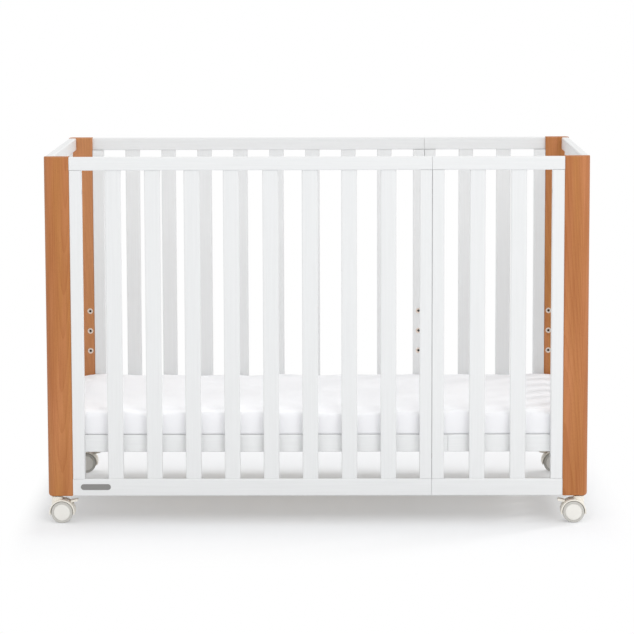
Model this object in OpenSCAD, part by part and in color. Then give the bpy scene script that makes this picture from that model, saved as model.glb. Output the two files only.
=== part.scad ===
// Baby crib: four beech posts, white slatted sides that are each bolted up
// from a wide and a narrow section, slatted ends, a two-part slatted base on
// threaded inserts at one of four heights, a mattress, and four twin-wheel
// casters with brake levers. X runs along the crib, Y across it, Z up. The
// origin is on the floor, below the middle of the crib.

/* [Crib] */
// Length over the posts
crib_l = 1240; // [1100:5:1400]
// Width over the posts
crib_w = 660; // [600:5:800]
// Height from the floor to the top of the posts
crib_h = 843; // [760:1:950]
// Height of the casters, from the floor to the foot of the posts
caster_h = 62.5; // [61:0.5:75]

/* [Posts] */
// Width of a post, along the crib
post_w = 58; // [48:1:80]
// Thickness of a post, across the crib
post_t = 30; // [26:1:40]
// Radius of a post's outer corner, seen from above
post_round = 22; // [8:1:24]
// Radius of a post's other upright corners
post_edge = 3; // [1:0.5:4]
// Radius of the outer corner of a post's foot, seen from the front
foot_round = 7; // [4:1:12]
// Radius that eases the ends of a post
post_ease = 2; // [1:0.5:4]

/* [Rails] */
// Thickness of the long rails
rail_t = 20; // [18:1:24]
// Height of the top rails
top_rail_h = 30; // [26:1:45]
// Height of the bottom rails
bottom_rail_h = 40; // [30:1:60]
// Radius of the rails' long edges
rail_edge = 3; // [1:0.5:5]
// Drop from the top of the posts to the top rails
rail_drop = 1; // [0:0.5:10]
// Set-back of the long sides from the posts' outer faces
set_back = 1; // [0:0.5:4]
// Thickness of the end rails
end_rail_t = 18; // [16:1:24]
// Length of the end rails' tenons in the posts
end_tenon_l = 8; // [6:0.5:9]
// Shoulder around the end rails' tenons
end_shoulder = 4; // [2:0.5:5]

/* [Slats and stiles] */
// Width of a slat
slat_w = 36; // [25:1:60]
// Thickness of a slat
slat_t = 12; // [8:1:14]
// Radius of a slat's upright edges
slat_edge = 3; // [1:0.5:4]
// Widest gap between slats
slat_gap_max = 60; // [45:1:65]
// Width of a stile
stile_w = 27.5; // [26:0.5:40]
// Radius of a stile's upright edges
stile_edge = 2; // [1:0.5:4]
// Depth of the mortises that slats and stiles sit in
mortise_depth = 10; // [6:1:14]
// Shoulder at the sides of a stile's tenon
stile_shoulder = 4; // [2:0.5:8]
// Length of the narrow section of a side
narrow_l = 300; // [240:5:400]
// Joint between the two sections of a side
section_gap = 0.6; // [0.2:0.1:2]

/* [Base] */
// Thickness of the base rails
base_rail_t = 20; // [18:1:24]
// Height of the base rails
base_rail_h = 40; // [34:1:60]
// Width of a base slat
base_slat_w = 55; // [40:1:80]
// Thickness of a base slat
base_slat_t = 8; // [6:0.5:10]
// Widest gap between base slats
base_gap_max = 60; // [30:1:70]
// Width of the rebate that carries the base slats
rebate_w = 10; // [8:1:12]
// Reach of the base's wide part beyond the wide section of the sides
base_reach = 38; // [30:1:60]
// Joint between the two parts of the base
base_joint = 0.6; // [0.2:0.1:3]
// Clearance from the base to the end rails
base_clear = 2; // [1:0.5:6]

/* [Heights of the base] */
// Height of the base's bolts above the foot of the posts at the lowest
// setting, which is the one in use
low_bolt_h = 117.5; // [107.5:0.5:160]
// Height of the base's bolts above the foot of the posts at the first raised
// setting
raised_bolt_h = 247.5; // [230:0.5:280]
// Step between the raised settings
setting_step = 50; // [30:1:80]
// Number of raised settings
raised_settings = 3; // [1:1:4]

/* [Mattress] */
// Gap between the mattress and the end rails
mattress_end_gap = 4.5; // [1:0.5:20]
// Gap between the mattress and the posts' and stiles' inner faces
mattress_side_gap = 2.5; // [1:0.5:20]
// Thickness of the mattress
mattress_h = 58; // [40:1:90]
// Radius of the mattress's upright corners
mattress_round = 30; // [10:1:60]
// Radius of the mattress's long edges
mattress_edge = 8; // [4:1:20]

/* [Inserts and bolts] */
// Thread diameter of the bolts and inserts
thread_d = 6; // [5:0.5:8]
// Outer diameter of an insert's sleeve
insert_d = 10; // [9:0.5:11]
// Length of an insert's sleeve
insert_l = 13; // [10:0.5:15]
// Diameter of an insert's rim
rim_d = 14; // [12:0.5:16]
// Thickness of an insert's rim
rim_t = 1.2; // [0.8:0.1:2]
// Diameter of a bolt's head
head_d = 12; // [9:0.5:14]
// Height of a bolt's head
head_h = 3.5; // [2.5:0.1:5]
// Radius of the edge of a bolt's head
head_edge = 1; // [0.5:0.1:1.5]
// Width across the flats of a bolt's hexagon socket
socket_w = 4; // [3:0.5:5]
// Thickness of wood that every bolt clamps
clamped_t = 20; // [18:1:22]
// Distance from a stile's end to its bolt
bolt_inset = 50; // [30:1:90]
// Distance from a post's inner edge to its row of inserts
insert_row = 10.5; // [9:0.5:14]
// Distance of the two bolts at the base's joint from the middle
joint_bolt_y = 150; // [80:5:220]

/* [Casters] */
// Diameter of a wheel
wheel_d = 50; // [44:1:52]
// Width of a wheel
wheel_w = 14; // [12:0.5:18]
// Distance from the stem's axis to the axle, along the crib
trail = 12; // [10:0.5:16]
// Distance from a post's outer face to the stem's axis
stem_inset = 20; // [18:0.5:26]
// Height of the stem's lower end above the axle
stem_end = 12; // [9:0.5:14]
// Thickness of the web between the wheels
web_w = 12; // [11:0.5:16]
// Set-back of the web's edge from the wheels' tread
web_inset = 3; // [2:0.5:5]
// Gap between the web and each wheel
wheel_gap = 0.5; // [0.3:0.1:1]
// Gap between a wheel's tread and the fender
fender_gap = 1.2; // [0.8:0.1:2]
// Thickness of the fender
fender_t = 2.8; // [2:0.1:4]
// Depth that the fender reaches below the axle
fender_drop = 5; // [0:0.5:8]
// Diameter of the swivel boss on the hood
boss_d = 26; // [20:1:30]
// Diameter of the stem in the hood
stem_d = 8; // [6:0.5:9]
// Diameter of the stem in the post
post_stem_d = 11; // [9:0.5:12]
// Length of the stem in the post
post_stem_l = 34; // [25:1:45]
// Diameter of the stem's collar
collar_d = 18; // [14:1:20]
// Thickness of the stem's collar
collar_t = 1.5; // [1:0.1:2]
// Diameter of the axle
axle_d = 6; // [5:0.5:7]
// Gap at each end of the axle
axle_gap = 0.5; // [0.2:0.1:1]
// Thickness of a wheel's face over the end of the axle
wheel_face_t = 3; // [2:0.5:4]
// Diameter of a wheel's cap
cap_d = 37; // [30:1:40]
// Height of a wheel's cap above the wheel's side
cap_proud = 0.8; // [0.4:0.1:1.5]
// Diameter of a wheel's hub
hub_d = 18; // [14:1:20]
// Depth of the hollow between a wheel's hub and its rim
hollow_depth = 9; // [7:0.5:10]
// Radius of a wheel's inner edge
tread_edge = 2; // [1:0.5:3]
// Radius of a wheel's outer edge
shoulder_edge = 2.5; // [1:0.5:4]
// Radius of the edge of a wheel's cap
cap_edge = 1.2; // [0.5:0.1:2]
// Width of the groove around a wheel's cap
groove_w = 0.8; // [0.5:0.1:1.5]
// Depth of the groove around a wheel's cap
groove_depth = 1.4; // [1:0.1:2]

/* [Brake levers] */
// Width of a lever's arm
arm_w = 6; // [4:0.5:6]
// Width of a lever's pedal
pedal_w = 18; // [10:1:24]
// Thickness of a lever's pedal
pedal_t = 5; // [3:0.5:5.5]
// Length of a lever's pedal
pedal_l = 12; // [8:0.5:16]
// Gap between a lever's pedal and the fender
pedal_gap = 1.3; // [1:0.1:2]
// Diameter of a lever's pivot pin
pivot_d = 3; // [2.5:0.1:3.5]
// Depth of the pivot below the wheels' tread
pivot_depth = 5.2; // [4.8:0.1:6]
// Distance from the pivot to the brake bar
bar_arm = 7; // [6:0.5:7.5]
// Diameter of the brake bar that reaches into the wheels
brake_bar_d = 3.6; // [2.4:0.1:3.6]
// Length of the brake bar on each side of the web
bar_reach = 4; // [2:0.5:6]
// Gap between a locked brake bar and a wheel's rim
brake_gap = 0.3; // [0.2:0.1:0.6]
// Angle that a lever turns from free to locked
lever_travel = 20; // [12:1:22]
// Angle of the pivot above the level, seen from the axle
pivot_angle = 45; // [40:1:50]
// Angle of the pedal's root above the level, seen from the axle
pedal_angle = 48; // [44:1:52]
// Slope of the pedal
pedal_slope = 10; // [5:1:20]
// Wall of a lever's knuckle around the pivot pin
knuckle_wall = 1.7; // [1.5:0.1:2]

/* [Clearances] */
// Clearance all round a tenon in its mortise
joint_clear = 0.1; // [0.05:0.05:0.3]
// Radial clearance of a turning shaft in its bore
running_fit = 0.05; // [0.02:0.01:0.1]
// Radial clearance of a bolt in the wood
bolt_clear = 0.4; // [0.2:0.1:1]
// Gap under the mattress and above the swivel bosses
rest_gap = 0.3; // [0.1:0.1:1]
// Gap in the wood behind an insert and above a stem
tip_gap = 1; // [0.5:0.1:2]
// Clearance beside a lever's arm
arm_clear = 0.2; // [0.1:0.05:0.4]
// Clearance at the end of a lever's arm
arm_end_gap = 0.8; // [0.5:0.1:1.5]
// Clearance below a lever's arm
arm_foot_gap = 2.8; // [2:0.1:4]

/* [Hidden] */
$fn = 48;

// How far a cut reaches past the face that it opens
over = 1;

BEECH = "#c08a5c";
WHITE = "#f2f2f0";
LINEN = "#f8f8fa";
STEEL = "#a9acb0";
HOOD_WHITE = "#f3efe6";
WHEEL_GREY = "#c9c8c4";

// Frame: inner faces and edges of the posts, and the heights of the rails
post_in_x = crib_l / 2 - post_w;
post_in_y = crib_w / 2 - post_t;
post_h = crib_h - caster_h;
top_z = crib_h - rail_drop;
stile_low_z = caster_h + bottom_rail_h;
stile_high_z = top_z - top_rail_h;
stile_l = stile_high_z - stile_low_z;

// Sides: distance of the rails' and stiles' middles from the crib's middle
side_face_y = crib_w / 2 - set_back;
rail_y = side_face_y - rail_t / 2;
stile_t = side_face_y - post_in_y;
stile_y = side_face_y - stile_t / 2;
split_x = post_in_x - narrow_l;
wide_end_x = split_x - section_gap / 2;
narrow_start_x = split_x + section_gap / 2;

// Ends: the end rails stand flush with the posts' outer faces
end_y = post_in_y;
end_x = crib_l / 2 - end_rail_t / 2;
end_in_x = crib_l / 2 - end_rail_t;

// Base: the wide part runs from the left end to the joint
base_x = end_in_x - base_clear;
base_joint_x = split_x + base_reach;
base_wide_end_x = base_joint_x - base_joint / 2;
base_narrow_start_x = base_joint_x + base_joint / 2;
base_bolt_z = caster_h + low_bolt_h;
base_z = base_bolt_z - base_rail_h / 2;
base_top_z = base_z + base_rail_h;
base_in_y = post_in_y - base_rail_t;
slat_rest_z = base_top_z - base_slat_t;

// Mattress: it fills the space between the ends and the sides
mattress_l = 2 * (end_in_x - mattress_end_gap);
mattress_w = 2 * (post_in_y - mattress_side_gap);
mattress_z = base_top_z + rest_gap;

// Fittings
bolt_zs = concat([base_bolt_z],
    [for (i = [0 : raised_settings - 1]) caster_h + raised_bolt_h + i * setting_step]);
panel_bolt_zs = [stile_low_z + bolt_inset, stile_high_z - bolt_inset];
post_insert_x = post_in_x + insert_row;
middle_insert_x = wide_end_x - stile_w / 2;
bolt_l = clamped_t + insert_l;
stile_counterbore = stile_w - clamped_t;
base_counterbore = base_rail_t - clamped_t;

// Casters
wheel_r = wheel_d / 2;
fender_in_r = wheel_r + fender_gap;
fender_r = fender_in_r + fender_t;
web_r = wheel_r - web_inset;
hood_w = web_w + 2 * (wheel_gap + wheel_w);
boss_top_z = caster_h - collar_t - rest_gap;
stem_x = crib_l / 2 - stem_inset;
stem_y = crib_w / 2 - post_t / 2;
stem_low_z = wheel_r + stem_end;
axle_bore_depth = wheel_w - wheel_face_t;
axle_l = web_w + 2 * (wheel_gap + axle_bore_depth - axle_gap);

// Brake lever in X and Z from the axle: the pivot, the brake bar when free,
// halfway and locked, the window it moves in, and the pedal's two ends
pivot = (wheel_r - pivot_depth) * [cos(pivot_angle), sin(pivot_angle)];
brake_bar = pivot + bar_arm * [-1, 0];
halfway_bar = pivot + bar_arm * [-cos(lever_travel / 2), sin(lever_travel / 2)];
locked_bar = pivot + bar_arm * [-cos(lever_travel), sin(lever_travel)];
bar_window_r = norm(halfway_bar - brake_bar) + brake_bar_d / 2 + brake_gap;
rim_in_r = norm(locked_bar) + brake_bar_d / 2 + brake_gap;
pedal_root = (fender_r + pedal_gap + pedal_t / 2) * [cos(pedal_angle), sin(pedal_angle)];
pedal_tip = pedal_root + pedal_l * [cos(pedal_slope), sin(pedal_slope)];
knuckle_r = pivot_d / 2 + knuckle_wall;
arm_slot_corner = brake_bar - [knuckle_r + arm_end_gap, knuckle_r + arm_foot_gap];

// ---- Shapes ----

// Rectangle with its own radius at each corner, listed anticlockwise from
// the lower left one
module rounded_rect(size, radii) {
    w = size[0];
    h = size[1];
    corners = [[0, 0, 0], [w, 0, 90], [w, h, 180], [0, h, 270]];
    difference() {
        square(size);
        for (i = [0 : 3])
            if (radii[i] > 0)
                translate([corners[i][0], corners[i][1]])
                    rotate(corners[i][2])
                        difference() {
                            translate([-over, -over]) square(radii[i] + over);
                            translate([radii[i], radii[i]]) circle(radii[i]);
                        }
    }
}

// Bar with round ends between two points
module capsule(from, to, r) {
    span = to - from;
    for (point = [from, to])
        translate(point) circle(r);
    translate(from) rotate(atan2(span[1], span[0]))
        translate([0, -r]) square([norm(span), 2 * r]);
}

// Bar along X, centred on Y, whose long edges are rounded
module bar_x(from_x, to_x, t, h, edge) {
    translate([from_x, 0, 0]) rotate([90, 0, 90])
        linear_extrude(to_x - from_x)
            translate([-t / 2, 0]) rounded_rect([t, h], [edge, edge, edge, edge]);
}

// Upright of w by t with rounded edges, centred on X and Y
module upright(w, t, h, edge) {
    linear_extrude(h)
        translate([-w / 2, -t / 2]) rounded_rect([w, t], [edge, edge, edge, edge]);
}

// Extrudes an outline drawn in X and Z along Y, centred on Y
module across(t) {
    rotate([90, 0, 0]) linear_extrude(t, center = true) children();
}

// ---- Spacing of the slats ----

function slat_count(clear, w, gap_max) = max(1, ceil((clear - gap_max) / (w + gap_max)));

// Middles of the slats that fill the space between two places evenly
function slat_places(from, to, w, gap_max) =
    let (n = slat_count(to - from, w, gap_max),
         gap = (to - from - n * w) / (n + 1))
    [for (i = [0 : n - 1]) from + gap + w / 2 + i * (w + gap)];

wide_slat_xs = slat_places(-post_in_x + stile_w, wide_end_x - stile_w, slat_w,
    slat_gap_max);
narrow_slat_xs = slat_places(narrow_start_x + stile_w, post_in_x - stile_w, slat_w,
    slat_gap_max);
end_slat_ys = slat_places(-end_y, end_y, slat_w, slat_gap_max);
base_slat_xs = concat(
    slat_places(-base_x + base_rail_t, base_wide_end_x - base_rail_t, base_slat_w,
        base_gap_max),
    slat_places(base_narrow_start_x + base_rail_t, base_x - base_rail_t, base_slat_w,
        base_gap_max));

// ---- Fittings ----

// Threaded insert whose rim lies at the origin and whose sleeve goes up
module insert() {
    difference() {
        union() {
            cylinder(d = rim_d, h = rim_t);
            cylinder(d = insert_d, h = insert_l);
        }
        translate([0, 0, -over]) cylinder(d = thread_d, h = insert_l + 2 * over);
    }
}

// Hole in the wood for an insert and for the bolt's end behind it
module insert_hole() {
    translate([0, 0, -over]) cylinder(d = rim_d, h = rim_t + over);
    translate([0, 0, -over]) cylinder(d = insert_d, h = insert_l + over + tip_gap);
}

// Bolt that enters an insert at the origin, with its head clamped_t below it
module bolt() {
    translate([0, 0, -clamped_t]) difference() {
        union() {
            cylinder(d = thread_d - 2 * running_fit, h = bolt_l);
            translate([0, 0, -head_h]) rotate_extrude()
                rounded_rect([head_d / 2, head_h], [0, head_edge, 0, 0]);
        }
        translate([0, 0, -head_h - over])
            cylinder(d = socket_w / cos(30), h = head_h / 2 + over, $fn = 6);
    }
}

// Hole for a bolt through the clamped wood, and for its head below that
module bolt_hole(counterbore) {
    translate([0, 0, -clamped_t - counterbore - over])
        cylinder(d = thread_d + 2 * bolt_clear, h = clamped_t + counterbore + 2 * over);
    if (counterbore > 0)
        translate([0, 0, -clamped_t - counterbore - over])
            cylinder(d = head_d + 2 * bolt_clear, h = counterbore + over);
}

// Inserts' places in a front post's inner face: outward along -Y
module post_places(side, zs) {
    for (z = zs)
        translate([side * post_insert_x, -post_in_y, z]) rotate([90, 0, 0]) children();
}

// The same in the front middle stile, for the base's wide part
module stile_places(zs) {
    for (z = zs)
        translate([middle_insert_x, -post_in_y, z]) rotate([90, 0, 0]) children();
}

// Places where a front side is bolted to the left post
module left_panel_places() {
    for (z = panel_bolt_zs)
        translate([-post_in_x, -stile_y, z]) rotate([0, -90, 0]) children();
}

// Places where a front side is bolted to the right post
module right_panel_places() {
    for (z = panel_bolt_zs)
        translate([post_in_x, -stile_y, z]) rotate([0, 90, 0]) children();
}

// Places where the wide section is bolted to the narrow one
module section_places() {
    for (z = panel_bolt_zs)
        translate([wide_end_x, -stile_y, z]) rotate([0, 90, 0]) children();
}

// Places where the two parts of the base are bolted together
module base_joint_places() {
    for (y = [-joint_bolt_y, joint_bolt_y])
        translate([base_wide_end_x, y, base_bolt_z]) rotate([0, 90, 0]) children();
}

// ---- Posts ----

// Front left post
module post() {
    difference() {
        intersection() {
            translate([-crib_l / 2, -crib_w / 2, caster_h]) linear_extrude(post_h)
                rounded_rect([post_w, post_t], [post_round, post_edge, post_edge, post_edge]);
            translate([-crib_l / 2, -crib_w / 2 + post_t / 2, caster_h])
                across(post_t + 2 * over)
                rounded_rect([post_w, post_h], [foot_round, post_edge, post_ease, post_ease]);
            translate([-crib_l / 2 - over, -crib_w / 2, caster_h]) rotate([90, 0, 90])
                linear_extrude(post_w + 2 * over)
                    rounded_rect([post_t, post_h], [post_ease, post_ease, post_ease, post_ease]);
        }
        post_places(-1, bolt_zs) insert_hole();
        left_panel_places() insert_hole();
        translate([-stem_x, -stem_y, caster_h - over])
            cylinder(d = post_stem_d, h = post_stem_l + over + tip_gap);
        for (z = [caster_h, top_z - top_rail_h])
            translate([0, -end_y, z])
                end_tenon(z == caster_h ? bottom_rail_h : top_rail_h, joint_clear);
    }
}

module post_front_left() { color(BEECH) post(); }
module post_front_right() { color(BEECH) mirror([1, 0, 0]) post(); }
module post_rear_left() { color(BEECH) mirror([0, 1, 0]) post(); }
module post_rear_right() { color(BEECH) mirror([1, 0, 0]) mirror([0, 1, 0]) post(); }

// ---- Sides ----

// Rail of a side's front, with a mortise for each slat and each stile's tenon
module side_rail(from_x, to_x, h, z, slat_xs, mortise_z) {
    color(WHITE) translate([0, -rail_y, 0]) difference() {
        translate([0, 0, z]) bar_x(from_x, to_x, rail_t, h, rail_edge);
        for (x = slat_xs)
            translate([x, 0, mortise_z])
                cube([slat_w + 2 * joint_clear, slat_t + 2 * joint_clear,
                      2 * (mortise_depth + joint_clear)], center = true);
        for (x = [from_x + stile_w / 2, to_x - stile_w / 2])
            translate([x, 0, mortise_z])
                cube([stile_w - 2 * stile_shoulder + 2 * joint_clear,
                      slat_t + 2 * joint_clear,
                      2 * (mortise_depth + joint_clear)], center = true);
    }
}

module front_wide_top_rail() {
    side_rail(-post_in_x, wide_end_x, top_rail_h, stile_high_z, wide_slat_xs, stile_high_z);
}
module front_wide_bottom_rail() {
    side_rail(-post_in_x, wide_end_x, bottom_rail_h, caster_h, wide_slat_xs, stile_low_z);
}
module front_narrow_top_rail() {
    side_rail(narrow_start_x, post_in_x, top_rail_h, stile_high_z, narrow_slat_xs,
        stile_high_z);
}
module front_narrow_bottom_rail() {
    side_rail(narrow_start_x, post_in_x, bottom_rail_h, caster_h, narrow_slat_xs,
        stile_low_z);
}

// Stile of a side's front: its middle is at x, and its tenons enter the rails
module stile(x) {
    translate([x, -stile_y, stile_low_z]) upright(stile_w, stile_t, stile_l, stile_edge);
    translate([x, -rail_y, stile_low_z + stile_l / 2])
        cube([stile_w - 2 * stile_shoulder, slat_t, stile_l + 2 * mortise_depth],
             center = true);
}

module front_left_stile() {
    color(WHITE) difference() {
        stile(-post_in_x + stile_w / 2);
        left_panel_places() bolt_hole(stile_counterbore);
    }
}
module front_middle_stiles() {
    color(WHITE) {
        difference() {
            stile(wide_end_x - stile_w / 2);
            section_places() bolt_hole(stile_counterbore);
            stile_places(bolt_zs) insert_hole();
        }
        difference() {
            stile(narrow_start_x + stile_w / 2);
            translate([section_gap, 0, 0]) section_places() insert_hole();
        }
    }
}
module front_right_stile() {
    color(WHITE) difference() {
        stile(post_in_x - stile_w / 2);
        right_panel_places() bolt_hole(stile_counterbore);
    }
}

// Slats at the given places along a side's front
module side_slats(xs) {
    color(WHITE)
        for (x = xs)
            translate([x, -rail_y, stile_low_z - mortise_depth])
                upright(slat_w, slat_t, stile_l + 2 * mortise_depth, slat_edge);
}
module front_wide_slats() { side_slats(wide_slat_xs); }
module front_narrow_slats() { side_slats(narrow_slat_xs); }

module rear_wide_top_rail() { mirror([0, 1, 0]) front_wide_top_rail(); }
module rear_wide_bottom_rail() { mirror([0, 1, 0]) front_wide_bottom_rail(); }
module rear_narrow_top_rail() { mirror([0, 1, 0]) front_narrow_top_rail(); }
module rear_narrow_bottom_rail() { mirror([0, 1, 0]) front_narrow_bottom_rail(); }
module rear_left_stile() { mirror([0, 1, 0]) front_left_stile(); }
module rear_middle_stiles() { mirror([0, 1, 0]) front_middle_stiles(); }
module rear_right_stile() { mirror([0, 1, 0]) front_right_stile(); }
module rear_wide_slats() { mirror([0, 1, 0]) front_wide_slats(); }
module rear_narrow_slats() { mirror([0, 1, 0]) front_narrow_slats(); }

// ---- Ends ----

// Tenon of the left end's rail, on the shoulder at the origin, towards -Y.
// With a clearance it is the mortise in the post.
module end_tenon(h, clear = 0) {
    translate([-end_x - end_rail_t / 2 + end_shoulder - clear,
               -end_tenon_l - clear, end_shoulder - clear])
        cube([end_rail_t - 2 * end_shoulder + 2 * clear, end_tenon_l + clear + over,
              h - 2 * end_shoulder + 2 * clear]);
}

// Rail of the left end, with a mortise for each slat
module end_rail(h, z, mortise_z) {
    color(WHITE) difference() {
        union() {
            translate([-end_x, 0, z]) rotate([0, 0, 90])
                bar_x(-end_y, end_y, end_rail_t, h, rail_edge);
            for (side = [0, 1])
                mirror([0, side, 0]) translate([0, -end_y, z]) end_tenon(h);
        }
        for (y = end_slat_ys)
            translate([-end_x, y, mortise_z])
                cube([slat_t + 2 * joint_clear, slat_w + 2 * joint_clear,
                      2 * (mortise_depth + joint_clear)], center = true);
    }
}
module left_end_top_rail() { end_rail(top_rail_h, stile_high_z, stile_high_z); }
module left_end_bottom_rail() { end_rail(bottom_rail_h, caster_h, stile_low_z); }
module left_end_slats() {
    color(WHITE)
        for (y = end_slat_ys)
            translate([-end_x, y, stile_low_z - mortise_depth])
                upright(slat_t, slat_w, stile_l + 2 * mortise_depth, slat_edge);
}
module right_end_top_rail() { mirror([1, 0, 0]) left_end_top_rail(); }
module right_end_bottom_rail() { mirror([1, 0, 0]) left_end_bottom_rail(); }
module right_end_slats() { mirror([1, 0, 0]) left_end_slats(); }

// ---- Base ----

// Front rail of one part of the base, with a rebate that carries the slats
module base_side_rail(from_x, to_x) {
    difference() {
        translate([0, -base_in_y - base_rail_t / 2, base_z])
            bar_x(from_x, to_x, base_rail_t, base_rail_h, stile_edge);
        translate([from_x - over, -base_in_y - rebate_w, slat_rest_z])
            cube([to_x - from_x + 2 * over, rebate_w + over, base_slat_t + over]);
    }
}

// Cross rail of the base between its side rails
module base_cross_rail(from_x) {
    translate([from_x, -base_in_y, base_z]) cube([base_rail_t, 2 * base_in_y, base_rail_h]);
}

module base_wide_front_rail() {
    color(WHITE) difference() {
        base_side_rail(-base_x, base_wide_end_x);
        post_places(-1, [base_bolt_z]) bolt_hole(base_counterbore);
        stile_places([base_bolt_z]) bolt_hole(base_counterbore);
    }
}
module base_narrow_front_rail() {
    color(WHITE) difference() {
        base_side_rail(base_narrow_start_x, base_x);
        post_places(1, [base_bolt_z]) bolt_hole(base_counterbore);
    }
}
module base_wide_rear_rail() { mirror([0, 1, 0]) base_wide_front_rail(); }
module base_narrow_rear_rail() { mirror([0, 1, 0]) base_narrow_front_rail(); }
module base_left_cross_rail() { color(WHITE) base_cross_rail(-base_x); }
module base_right_cross_rail() { color(WHITE) base_cross_rail(base_x - base_rail_t); }
module base_middle_cross_rails() {
    color(WHITE) {
        difference() {
            base_cross_rail(base_wide_end_x - base_rail_t);
            base_joint_places() bolt_hole(base_counterbore);
        }
        difference() {
            base_cross_rail(base_narrow_start_x);
            translate([base_joint, 0, 0]) base_joint_places() insert_hole();
        }
    }
}
module base_slats() {
    reach = base_in_y + rebate_w - joint_clear;
    color(BEECH)
        for (x = base_slat_xs)
            translate([x - base_slat_w / 2, -reach, slat_rest_z])
                cube([base_slat_w, 2 * reach, base_slat_t]);
}

// ---- Mattress ----

module mattress() {
    edge = mattress_edge;
    color(LINEN) intersection() {
        translate([-mattress_l / 2, -mattress_w / 2, mattress_z]) linear_extrude(mattress_h)
            rounded_rect([mattress_l, mattress_w],
                [mattress_round, mattress_round, mattress_round, mattress_round]);
        translate([-mattress_l / 2, 0, mattress_z]) across(mattress_w + 2 * over)
            rounded_rect([mattress_l, mattress_h], [edge, edge, edge, edge]);
        translate([0, 0, mattress_z])
            bar_x(-mattress_l / 2 - over, mattress_l / 2 + over, mattress_w, mattress_h,
                edge);
    }
}

// ---- Inserts and bolts ----

module threaded_inserts() {
    color(STEEL)
        for (side = [0, 1])
            mirror([0, side, 0]) {
                post_places(-1, bolt_zs) insert();
                post_places(1, bolt_zs) insert();
                stile_places(bolt_zs) insert();
                left_panel_places() insert();
                right_panel_places() insert();
                translate([section_gap, 0, 0]) section_places() insert();
            }
    color(STEEL) translate([base_joint, 0, 0]) base_joint_places() insert();
}

module bolts() {
    color(STEEL)
        for (side = [0, 1])
            mirror([0, side, 0]) {
                post_places(-1, [base_bolt_z]) bolt();
                post_places(1, [base_bolt_z]) bolt();
                stile_places([base_bolt_z]) bolt();
                left_panel_places() bolt();
                right_panel_places() bolt();
                section_places() bolt();
            }
    color(STEEL) base_joint_places() bolt();
}

// ---- Casters ----

// Puts a caster, drawn with its stem's axis on Z and its lever towards +X,
// under the post on the given sides of the crib
module at_post(side_x, side_y) {
    translate([side_x * stem_x, side_y * stem_y, 0])
        rotate([0, 0, side_x > 0 ? 180 : 0])
            children();
}

// Moves what is drawn around the axle to its place behind the stem
module at_axle() {
    translate([trail, 0, wheel_r]) children();
}

module stem() {
    translate([0, 0, stem_low_z]) cylinder(d = stem_d, h = caster_h - stem_low_z);
    translate([0, 0, caster_h - collar_t]) cylinder(d = collar_d, h = collar_t);
    translate([0, 0, caster_h]) cylinder(d = post_stem_d, h = post_stem_l);
}

module caster_stems() {
    color(STEEL)
        for (x = [-1, 1], y = [-1, 1])
            at_post(x, y) stem();
}

// Hood: the web between the wheels, the fender over them, the swivel boss,
// and the pin that the lever turns on
module hood() {
    color(HOOD_WHITE) {
        difference() {
            union() {
                at_axle() {
                    across(web_w) {
                        circle(web_r);
                        fender_side(fender_r);
                    }
                    across(hood_w) difference() {
                        fender_side(fender_r);
                        circle(fender_in_r);
                    }
                }
                difference() {
                    translate([0, 0, wheel_r])
                        cylinder(d = boss_d, h = boss_top_z - wheel_r);
                    at_axle() across(hood_w + 2 * over) circle(fender_in_r);
                }
            }
            translate([0, 0, stem_low_z - rest_gap])
                cylinder(d = stem_d + 2 * running_fit, h = crib_h);
            at_axle() across(hood_w + 2 * over) circle(d = axle_d);
            at_axle() across(arm_w + 2 * arm_clear)
                translate(arm_slot_corner) square(fender_r);
            at_axle() across(web_w + 2 * over) translate(halfway_bar) circle(bar_window_r);
        }
        at_axle() across(web_w) translate(pivot) circle(d = pivot_d);
    }
}

// Disc of the fender down to its lower edge
module fender_side(r) {
    intersection() {
        circle(r);
        translate([-r, -fender_drop]) square([2 * r, r + fender_drop]);
    }
}

module axle() {
    color(STEEL) at_axle() across(axle_l) circle(d = axle_d);
}

// Wheel on the side of the web given by side, which is 1 for +Y
module wheel(side) {
    color(WHEEL_GREY) at_axle()
        mirror([0, side > 0 ? 0 : 1, 0])
            translate([0, web_w / 2 + wheel_gap, 0]) rotate([-90, 0, 0])
                rotate_extrude() wheel_profile();
}

// Half section of a wheel, from the hollow inner side to the capped outer one
module wheel_profile() {
    difference() {
        union() {
            rounded_rect([wheel_r, wheel_w - cap_proud], [0, tread_edge, shoulder_edge, 0]);
            rounded_rect([cap_d / 2, wheel_w], [0, 0, cap_edge, 0]);
        }
        translate([0, -over])
            square([axle_d / 2 + running_fit, axle_bore_depth + over]);
        translate([hub_d / 2, -over]) square([rim_in_r - hub_d / 2, hollow_depth + over]);
        translate([cap_d / 2, wheel_w - groove_depth])
            square([groove_w, groove_depth + over]);
    }
}

// Lever: a rocker whose brake bar locks the wheels when the pedal is pressed
module lever() {
    color(HOOD_WHITE) at_axle() difference() {
        union() {
            across(arm_w) {
                capsule(brake_bar, pivot, knuckle_r);
                capsule(pivot, pedal_root, pedal_t / 2);
            }
            across(pedal_w) capsule(pedal_root, pedal_tip, pedal_t / 2);
            across(web_w + 2 * bar_reach) translate(brake_bar) circle(d = brake_bar_d);
        }
        across(arm_w + 2 * over) translate(pivot) circle(r = pivot_d / 2 + running_fit);
    }
}

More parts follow.
